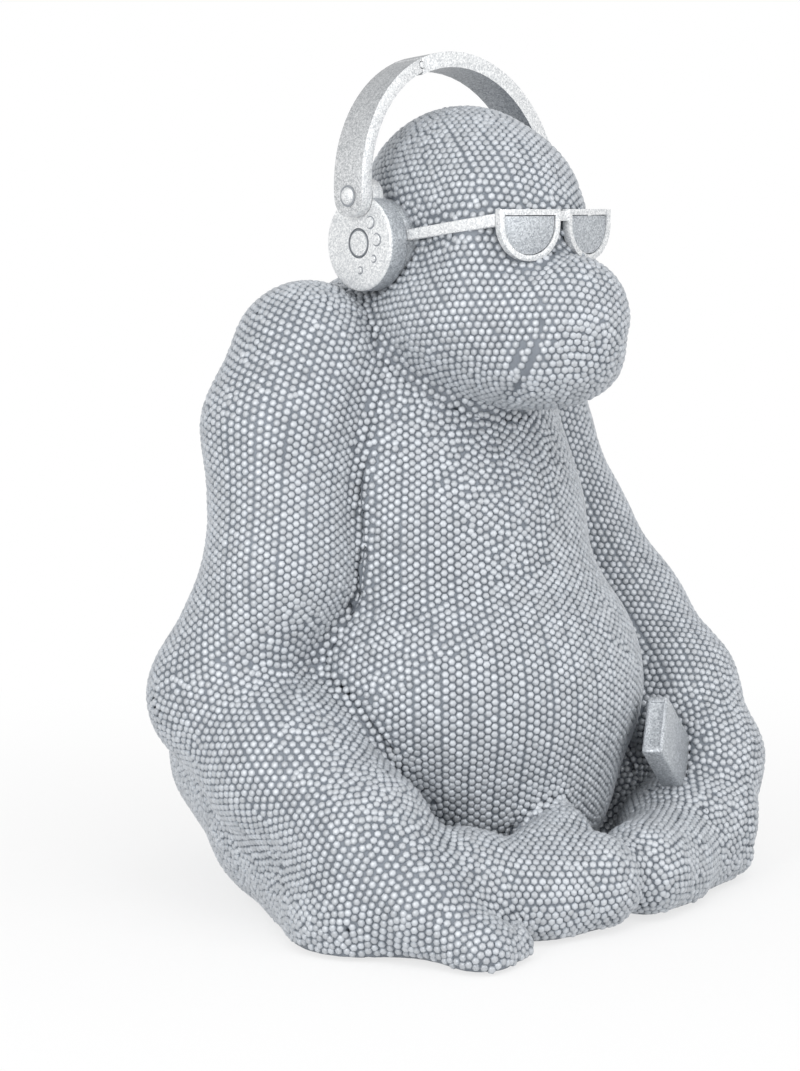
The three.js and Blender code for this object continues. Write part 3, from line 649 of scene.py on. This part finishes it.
# Twice the loose studs are eased apart and bare spots filled again. A stud with six neighbours is well
# packed and stays, as do those along the rim and the folds.
NEIGHBOUR_REACH = 1.32 * PITCH
HELD_ABOVE_RIM, HELD_BESIDE_FOLD = 1, 1.5
for _ in range(2):
    sizes = [len(beds[node][0]) for node in CASTINGS]
    places = np.concatenate([beds[node][0] for node in CASTINGS])
    of_casting = np.repeat(np.arange(len(CASTINGS)), sizes)
    close_pairs = pairs_within(places, NEIGHBOUR_REACH)
    held = np.bincount(close_pairs.ravel(), minlength=len(places)) == len(SIX_AROUND)
    held |= places[:, 2] < PLAIN_RIM + HELD_ABOVE_RIM
    held |= beside_folds(places) < FOLD_GAP + HELD_BESIDE_FOLD
    places, ups = ease_apart(places, held)
    taken.clear()
    for p in places:
        free_spot(tuple(p), 0.0)
    for index, node in enumerate(CASTINGS):
        own = of_casting == index
        beds[node] = fill_bare(node, places[own], beds[node][1], ups[own])

chance = np.random.default_rng(11)
TILT = 0.1
STUD_SCALES, STUD_TONES = (0.94, 1.04), (0.78, 1.0)
STUD_IN_CELL = 0.27


def lay_studs(name, places, runs, ups):
    """One mesh of studs, each standing on its place with a small tilt, size and tone of its own."""
    count, per = len(places), len(stud_points)
    up = ups + chance.normal(0, TILT, (count, 3))
    up /= np.linalg.norm(up, axis=1)[:, None]
    ahead = runs - (runs * up).sum(1)[:, None] * up
    ahead /= np.maximum(np.linalg.norm(ahead, axis=1), 1e-9)[:, None]
    beside = np.cross(up, ahead)
    corner = stud_points[None] * chance.uniform(*STUD_SCALES, count)[:, None, None]
    points = (places[:, None] + corner[..., :1] * ahead[:, None] + corner[..., 1:2] * beside[:, None]
              + corner[..., 2:] * up[:, None])
    mesh = bpy.data.meshes.new(name)
    mesh.vertices.add(count * per)
    mesh.vertices.foreach_set("co", (points * MM).ravel())
    corners = (stud_corners[None] + per * np.arange(count)[:, None]).ravel()
    mesh.loops.add(len(corners))
    mesh.loops.foreach_set("vertex_index", corners)
    face_sizes = np.tile(stud_sizes, count)
    mesh.polygons.add(len(face_sizes))
    mesh.polygons.foreach_set("loop_start", np.concatenate([[0], np.cumsum(face_sizes)[:-1]]))
    mesh.update(calc_edges=True)
    # The rise, 0 at a stud's foot and 1 at its top, places the painted highlight on the tops and painted
    # shade on the flanks
    rise = mesh.attributes.new("rise", "FLOAT", "POINT")
    rise.data.foreach_set("value", np.tile(np.clip(1 + stud_points[:, 2] / STUD_HEIGHT, 0, 1), count))
    tone = mesh.attributes.new("tone", "FLOAT_COLOR", "POINT")
    shade = np.repeat(chance.uniform(*STUD_TONES, count), per)
    tone.data.foreach_set("color", np.stack([shade, shade, shade, np.ones_like(shade)], 1).ravel())
    cells = math.ceil(math.sqrt(count))
    cell = np.stack([np.arange(count) % cells, np.arange(count) // cells], 1) + 0.5
    flat = (cell[:, None] + stud_points[None, :, :2] * STUD_IN_CELL) / cells
    mesh.uv_layers.new(name="OFBake").data.foreach_set("uv", flat.reshape(-1, 2)[corners].ravel())
    mesh.materials.append(silver)
    laid = bpy.data.objects.new(name, mesh)
    bpy.context.collection.objects.link(laid)
    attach(laid, "root")


# Near the floor a stud needs skin behind it, which ends a little above the floor
BACKED = 2.2
skin_tree = tree_of(np.concatenate([outside[node] for node in CASTINGS]))
for node in CASTINGS:
    backed = [p[2] > NEAR_FLOOR or skin_tree.find(p)[2] < BACKED for p in beds[node][0]]
    places, runs, ups = [part[backed] for part in beds[node]]
    shares = math.ceil(len(places) / STUDS_IN_MESH)
    for share, chosen in enumerate(np.array_split(np.argsort(places[:, 2]), shares)):
        lay_studs(f"{node}_studs_{share}", places[chosen], runs[chosen], ups[chosen])

# Ear cushions: rounded pads, smooth resin castings like all the glued-on pieces, set into the sides of
# the head. They are sprayed a lighter silver than the body, with fine glitter in the lacquer.
SIDES = ((-1, "right"), (1, "left"))
EAR = (-1, 271.2)
CUSHION_X, CUSHION_RADIUS, CUSHION_DEPTH, CUSHION_EDGE = 36.5, 18, 9, 3.4
SHARP = math.radians(35)
# Real flakes are too fine to show from here, so they are drawn coarser
FLAKE, PEEL, PEEL_DEPTH = 0.55, 0.8, 0.1


def lacquer(name, dark, light):
    """Silver lacquer whose flakes lie between two tones: a fine speckle with soft glints."""
    material, shader = new_material(name)
    place = add_node(material, "ShaderNodeTexCoord")
    flakes = add_node(material, "ShaderNodeTexVoronoi", {"feature": "F1"}, Vector=place.outputs["Object"],
                      Scale=1 / (FLAKE * MM))
    speckle = add_node(material, "ShaderNodeValToRGB", Fac=flakes.outputs["Color"])
    for stop, at, code in zip((0, 1), (0.1, 0.9), (dark, light)):
        speckle.color_ramp.elements[stop].position = at
        speckle.color_ramp.elements[stop].color = linear(code)
    peel = add_node(material, "ShaderNodeTexNoise", Vector=place.outputs["Object"], Scale=1 / (PEEL * MM))
    relief = add_node(material, "ShaderNodeBump", Strength=0.35, Distance=PEEL_DEPTH * MM,
                      Height=peel.outputs["Fac"])
    material.node_tree.links.new(speckle.outputs["Color"], shader.inputs["Base Color"])
    material.node_tree.links.new(relief.outputs["Normal"], shader.inputs["Normal"])
    shader.inputs["Metallic"].default_value = 0.35
    shader.inputs["Roughness"].default_value = 0.42
    return material


def round_edges(edge, segments, clamp):
    """Rounds the sharp edges of the piece in edit mode, and leaves edit mode."""
    bpy.ops.mesh.select_all(action="DESELECT")
    bpy.ops.mesh.select_mode(type="EDGE")
    bpy.ops.mesh.edges_select_sharp(sharpness=SHARP)
    bpy.ops.mesh.bevel(offset=edge * MM, segments=segments, affect="EDGES", clamp_overlap=clamp)
    bpy.ops.mesh.select_mode(type="VERT")
    bpy.ops.object.mode_set(mode="OBJECT")


def disc(radius, depth, edge, at):
    """A round disc lying along X, with rounded rims."""
    bpy.ops.object.select_all(action="DESELECT")
    bpy.ops.mesh.primitive_cylinder_add(vertices=72, radius=radius * MM, depth=depth * MM,
                                        location=[c * MM for c in at], rotation=(0, math.pi / 2, 0))
    made = bpy.context.object
    bpy.ops.object.transform_apply(location=True, rotation=True, scale=True)
    bpy.ops.object.mode_set(mode="EDIT")
    round_edges(edge, 5, False)
    return made


def finished(piece, node, material):
    """Settles a modelled piece in place of its solid: place baked in, soft shading, paint if given."""
    bpy.ops.object.select_all(action="DESELECT")
    piece.select_set(True)
    bpy.context.view_layer.objects.active = piece
    bpy.ops.object.transform_apply(location=True, rotation=True, scale=True)
    bpy.ops.object.shade_smooth_by_angle(angle=SHARP)
    piece.name = node + "_finished"
    if material:
        piece.data.materials.clear()
        piece.data.materials.append(material)
    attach(piece, "root")
    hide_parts(node)


# A darker silver lacquer. On the cup walls, lenses and phone it is a thin coat over grey; on the ear
# cushions, sunk between the head and the cups, it is painted shade
darker_lacquer = lacquer("darker silver lacquer", "#8b9096", "#cbcfd3")
# Each cushion wears the darker lacquer as painted shade, for it sits sunk between the head and its cup
for side, name in SIDES:
    cushion = disc(CUSHION_RADIUS, CUSHION_DEPTH, CUSHION_EDGE, (side * CUSHION_X, *EAR))
    finished(cushion, name + "_ear_cushion", darker_lacquer)

# Ear cups: round resin shells glued on the cushions, with a dial groove in the face, four buttons and a
# lug for the band. A grey coat paints shade into the groove and rings round the buttons, and the wall has a
# thin coat.
PIN_Z = 290.2
CUP_X, CUP_RADIUS, CUP_DEPTH, CUP_EDGE = 46.05, 19.5, 9.5, 1.2
DIAL_RINGS = ((12.1, 0), (0.3, -0.9), (0.3, 0), (0.3, 0.9), (0.3, 0))
GROOVE_INNER, GROOVE_OUTER = 5, 6.2
LUG_RADIUS, LUG_DEPTH = 7, 6.5
BUTTONS = ((50, 2.2), (8, 2.2), (-34, 1.2), (-85, 1.2))
BUTTON_CIRCLE = 11
FACE_TURN = 0.3

# Full coats are bright with clear glitter
glitter = lacquer("light silver lacquer with fine glitter", "#babdc0", "#f2f3f3")
# A matt coat greyer than the lacquer is painted shade: it darkens the grooves, the rings round the buttons
# and pins and the band's front corner, so they read as drawn lines
painted_shade_coat, _, _ = mottled("grey painted shade coat for grooves and rings", 1.5, 4.0, "#74787d", "#9ea2a7", 0.6)
# Each button stands on a thin dark ring of that coat, painted shade round its edge: place across, thickness,
# extra radius, edge, paint
BUTTON_LAYERS = ((50.8, 0.1, 0.5, 0.02, painted_shade_coat), (51.0, 1.0, 0, 0.3, glitter))


def joined(pieces):
    """Several pieces as one."""
    bpy.ops.object.select_all(action="DESELECT")
    for piece in pieces:
        piece.select_set(True)
    bpy.context.view_layer.objects.active = pieces[0]
    bpy.ops.object.join()
    return pieces[0]


for side, name in SIDES:
    shell = disc(CUP_RADIUS, CUP_DEPTH, CUP_EDGE, (side * CUP_X, *EAR))
    face_index = max(shell.data.polygons, key=lambda f: side * f.center.x).index
    bpy.ops.object.mode_set(mode="EDIT")
    bpy.ops.mesh.select_all(action="DESELECT")
    bpy.ops.object.mode_set(mode="OBJECT")
    shell.data.polygons[face_index].select = True
    bpy.ops.object.mode_set(mode="EDIT")
    bpy.ops.mesh.select_mode(type="FACE")
    for inset, sink in DIAL_RINGS:
        bpy.ops.mesh.inset(thickness=inset * MM, depth=sink * MM)
    bpy.ops.mesh.select_mode(type="VERT")
    bpy.ops.object.mode_set(mode="OBJECT")
    for paint in (glitter, painted_shade_coat, darker_lacquer):
        shell.data.materials.append(paint)
    for f in shell.data.polygons:
        from_middle = math.hypot(f.center.y - EAR[0] * MM, f.center.z - EAR[1] * MM)
        # The dial groove gets the grey coat as painted shade, the wall the darker lacquer
        if len(f.vertices) == 4 and GROOVE_INNER * MM < from_middle < GROOVE_OUTER * MM:
            f.material_index = 1
        elif side * f.normal.x < FACE_TURN:
            f.material_index = 2
    lug = disc(LUG_RADIUS, LUG_DEPTH, CUP_EDGE, (side * CUP_X, EAR[0], PIN_Z))
    lug.data.materials.append(glitter)
    parts = [shell, lug]
    for turned, radius in BUTTONS:
        angle = math.radians(turned)
        spot = (EAR[0] - math.cos(angle) * BUTTON_CIRCLE, EAR[1] + math.sin(angle) * BUTTON_CIRCLE)
        for out, thick, wider, edge, paint in BUTTON_LAYERS:
            parts.append(disc(radius + wider, thick, edge, (side * out, *spot)))
            parts[-1].data.materials.append(paint)
    finished(joined(parts), name + "_ear_cup", None)

# Headband: two arched resin strips that meet at a seam over the crown, each pinned to a cup by its round end.
# The outer face has a darker lacquer greying towards the top and the inside a grey one, both painted shade; a
# grey line of painted shade runs along the front corner.
BAND_EDGE, HINGE_EDGE = 0.7, 0.3
CORNER_OUT, CORNER_FRONT, BAND_FACE = 0.3, (-0.93, -0.3), 0.6
PIN_RADIUS, PIN_RISE, PIN_SUNK = 3.6, 2.2, 0.4
# A thin dark ring round the foot of each pin paints its shadow
PIN_SHADOW_RADIUS, PIN_SHADOW_DEPTH, PIN_SHADOW_EDGE, PIN_SHADOW_SUNK = 4.4, 0.2, 0.05, 0.05
PIN_SEAT = {"right": 56.7, "left": 57.9}
# Heights in metres over which the arch's outer face greys towards the top as painted shade
ARCH_SHADE_FROM, ARCH_SHADE_TO = 0.3, 0.35

# Under the arch a grey lacquer is painted shade. On the arch a darker lacquer, greyed towards the top, is
# painted shade too
band_inside_shade = lacquer("grey lacquer, painted shade inside the band", "#777c82", "#b4b8bd")
band_outside_shade = lacquer("silver lacquer with painted shade over the arch", "#a0a3a6", "#dfe0e1")
along_band = add_node(band_outside_shade, "ShaderNodeTexCoord")
level = add_node(band_outside_shade, "ShaderNodeSeparateXYZ", Vector=along_band.outputs["Object"])
arch_shade = add_node(band_outside_shade, "ShaderNodeMapRange", Value=level.outputs["Z"],
                From_Min=ARCH_SHADE_FROM, From_Max=ARCH_SHADE_TO)
arch_base_colour = band_outside_shade.node_tree.nodes["Principled BSDF"].inputs["Base Color"]
shaded_towards_top = add_node(band_outside_shade, "ShaderNodeMix", {"data_type": "RGBA", "blend_type": "MULTIPLY"},
                  Factor=arch_shade.outputs[0], i6=arch_base_colour.links[0].from_socket, i7=linear("#c4c6c8"))
band_outside_shade.node_tree.links.new(shaded_towards_top.outputs[2], arch_base_colour)


def softened(node, edge):
    """A copy of the solid as whole faces, with its sharp edges rounded."""
    piece = copy_in_edit(node, node)
    bpy.ops.mesh.dissolve_limited(angle_limit=math.radians(1))
    round_edges(edge, 3, True)
    return piece


for _, name in SIDES:
    band = softened(name + "_headband", BAND_EDGE)
    band.data.materials.clear()
    for paint in (glitter, band_outside_shade, band_inside_shade, painted_shade_coat):
        band.data.materials.append(paint)
    for f in band.data.polygons:
        way = Vector((f.center.x, 0, f.center.z - PIN_Z * MM)).normalized()
        outward = f.normal.dot(way)
        # The front corner gets the grey coat, the outer face the darker lacquer and the inside the grey one,
        # all painted shade
        if outward > CORNER_OUT and CORNER_FRONT[0] < f.normal.y < CORNER_FRONT[1]:
            f.material_index = 3
        elif abs(outward) > BAND_FACE:
            f.material_index = 1 if outward > 0 else 2
        else:
            f.material_index = 0
    finished(band, name + "_headband", None)
for side, name in SIDES:
    seat = PIN_SEAT[name]
    bpy.ops.object.select_all(action="DESELECT")
    bpy.ops.mesh.primitive_uv_sphere_add(segments=32, ring_count=16, radius=PIN_RADIUS * MM,
                                         location=(side * (seat - PIN_SUNK) * MM, EAR[0] * MM, PIN_Z * MM),
                                         scale=(PIN_RISE / PIN_RADIUS, 1, 1))
    dome = bpy.context.object
    dome.data.materials.append(glitter)
    # The dark ring of grey coat round the pin is its painted shadow
    pin_shadow_ring = disc(PIN_SHADOW_RADIUS, PIN_SHADOW_DEPTH, PIN_SHADOW_EDGE, (side * (seat - PIN_SHADOW_SUNK), EAR[0], PIN_Z))
    pin_shadow_ring.data.materials.append(painted_shade_coat)
    finished(joined([dome, pin_shadow_ring]), name + "_band_pin", None)
finished(softened("headband_hinge_pin", HINGE_EDGE), "headband_hinge_pin", glitter)

# Glasses: a resin front cast with two half-round rims, thin plates glued in as lenses, and straight temples
# that run from the front to the ear cushions. Front and temples are fully lacquered, the plates thinly.
for node, edge in (("glasses_front", 0.45), ("right_temple", 0.5), ("left_temple", 0.5)):
    finished(softened(node, edge), node, glitter)
for node in ("right_lens", "left_lens"):
    finished(softened(node, 0.2), node, darker_lacquer)

# Phone: a flat resin slab with sunk panels and thinly lacquered edges.
# It is glued into the fist of the left hand.
finished(softened("phone", 0.4), "phone", darker_lacquer)

# Base plug: a moulded plastic cap, left unpainted, pressed into the pour opening under the torso.
# The moulding's fine grain keeps it dull.
plug_plastic, _, _ = mottled("dull grey moulded plastic", 1.5, 4.0, "#262627", "#343436", 0.75)
finished(softened("base_plug", 0.5), "base_plug", plug_plastic)

# Felt pads: four discs punched from pressed wool felt and glued under the feet and the seat.
# The wool is dull, with a faint light edge from its standing hairs.
HAIR_PATCH, NAP = 0.4, 0.2
felt, felt_shader, hairs = mottled("pressed dark wool felt", HAIR_PATCH, 6.0, "#121213", "#2c2c2f", 0.95)
nap = add_node(felt, "ShaderNodeBump", Strength=0.6, Distance=NAP * MM, Height=hairs.outputs["Fac"])
felt.node_tree.links.new(nap.outputs["Normal"], felt_shader.inputs["Normal"])
felt_shader.inputs["Sheen Weight"].default_value = 0.3
for node in [n for n in nodes if n.startswith("felt")]:
    pad = softened(node, 0.35)
    finished(pad, node, felt)
